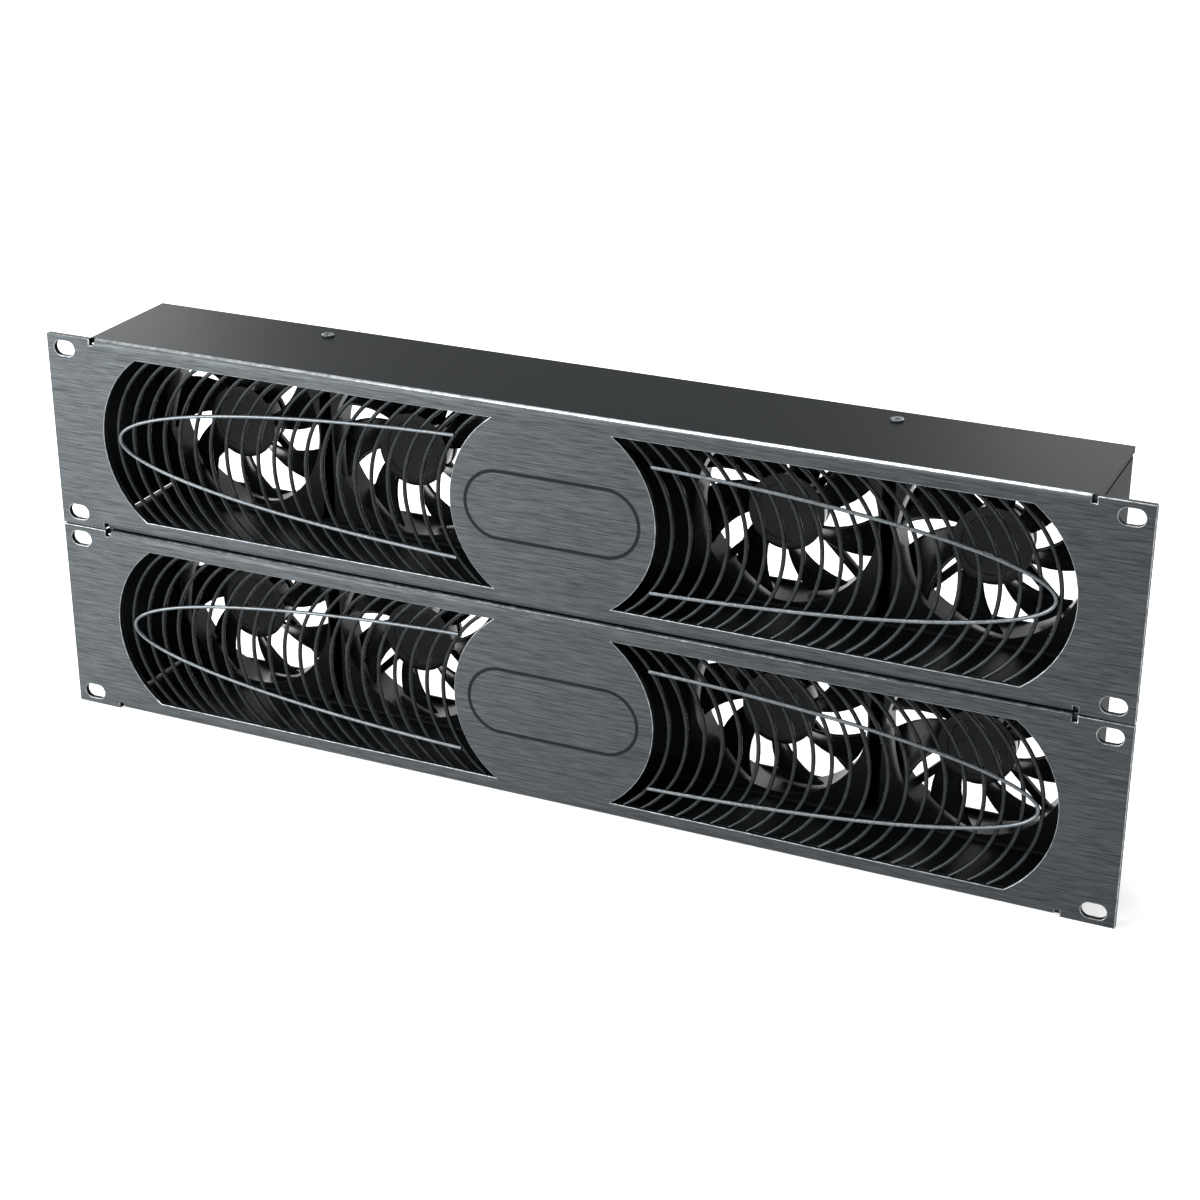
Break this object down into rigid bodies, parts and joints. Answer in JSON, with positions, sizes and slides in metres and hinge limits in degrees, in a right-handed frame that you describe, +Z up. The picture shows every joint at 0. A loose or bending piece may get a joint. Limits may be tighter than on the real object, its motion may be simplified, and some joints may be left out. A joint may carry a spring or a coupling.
{
  "type": "rack fan panel",
  "caption": "Stacked 19-inch rack fan panels with axial fans behind curved wire grilles in a brushed, black-finished face.",
  "frame": {"origin": "middle of the base: centre of the bounding box in X and Y, underside of the lower panel in Z", "axes": "+X along the face to its right-hand ear, +Y rearward from the face, +Z up"},
  "size_m": [0.4826, 0.06, 0.1778],
  "materials": {
    "brushed_face": "satin",
    "black_steel": "satin",
    "wire": "satin",
    "screw_steel": "satin",
    "fan_plastic": "satin",
    "impeller_plastic": "gloss",
    "shaft_steel": "satin",
    "black_plastic": "matte",
    "pin_metal": "satin"
  },
  "bodies": {
    "chassis": {"lower_chassis_screws": "screw_steel", "lower_fan_frame_1": "fan_plastic", "lower_fan_frame_2": "fan_plastic", "lower_fan_frame_3": "fan_plastic", "lower_fan_frame_4": "fan_plastic", "lower_front_shell": "brushed_face", "lower_grille_left": "wire", "lower_grille_right": "wire", "lower_inlet_pins": "pin_metal", "lower_power_inlet": "black_plastic", "lower_rear_shell": "black_steel", "upper_chassis_screws": "screw_steel", "upper_fan_frame_1": "fan_plastic", "upper_fan_frame_2": "fan_plastic", "upper_fan_frame_3": "fan_plastic", "upper_fan_frame_4": "fan_plastic", "upper_front_shell": "brushed_face", "upper_grille_left": "wire", "upper_grille_right": "wire", "upper_inlet_pins": "pin_metal", "upper_power_inlet": "black_plastic", "upper_rear_shell": "black_steel"},
    "lower_rotor_1": {"lower_impeller_1": "impeller_plastic", "lower_shaft_1": "shaft_steel"},
    "lower_rotor_2": {"lower_impeller_2": "impeller_plastic", "lower_shaft_2": "shaft_steel"},
    "lower_rotor_3": {"lower_impeller_3": "impeller_plastic", "lower_shaft_3": "shaft_steel"},
    "lower_rotor_4": {"lower_impeller_4": "impeller_plastic", "lower_shaft_4": "shaft_steel"},
    "upper_rotor_1": {"upper_impeller_1": "impeller_plastic", "upper_shaft_1": "shaft_steel"},
    "upper_rotor_2": {"upper_impeller_2": "impeller_plastic", "upper_shaft_2": "shaft_steel"},
    "upper_rotor_3": {"upper_impeller_3": "impeller_plastic", "upper_shaft_3": "shaft_steel"},
    "upper_rotor_4": {"upper_impeller_4": "impeller_plastic", "upper_shaft_4": "shaft_steel"}
  },
  "joints": [
    {"name": "lower_fan_1_spin", "type": "hinge", "parent": "chassis", "child": "lower_rotor_1", "pos_m": [-0.171, 0.0193, 0.04405], "axis": [0, 1, 0], "continuous": true},
    {"name": "lower_fan_2_spin", "type": "hinge", "parent": "chassis", "child": "lower_rotor_2", "pos_m": [-0.0855, 0.0193, 0.04405], "axis": [0, 1, 0], "continuous": true},
    {"name": "lower_fan_3_spin", "type": "hinge", "parent": "chassis", "child": "lower_rotor_3", "pos_m": [0.0855, 0.0193, 0.04405], "axis": [0, 1, 0], "continuous": true},
    {"name": "lower_fan_4_spin", "type": "hinge", "parent": "chassis", "child": "lower_rotor_4", "pos_m": [0.171, 0.0193, 0.04405], "axis": [0, 1, 0], "continuous": true},
    {"name": "upper_fan_1_spin", "type": "hinge", "parent": "chassis", "child": "upper_rotor_1", "pos_m": [-0.171, 0.0193, 0.13295], "axis": [0, 1, 0], "continuous": true},
    {"name": "upper_fan_2_spin", "type": "hinge", "parent": "chassis", "child": "upper_rotor_2", "pos_m": [-0.0855, 0.0193, 0.13295], "axis": [0, 1, 0], "continuous": true},
    {"name": "upper_fan_3_spin", "type": "hinge", "parent": "chassis", "child": "upper_rotor_3", "pos_m": [0.0855, 0.0193, 0.13295], "axis": [0, 1, 0], "continuous": true},
    {"name": "upper_fan_4_spin", "type": "hinge", "parent": "chassis", "child": "upper_rotor_4", "pos_m": [0.171, 0.0193, 0.13295], "axis": [0, 1, 0], "continuous": true}
  ]
}
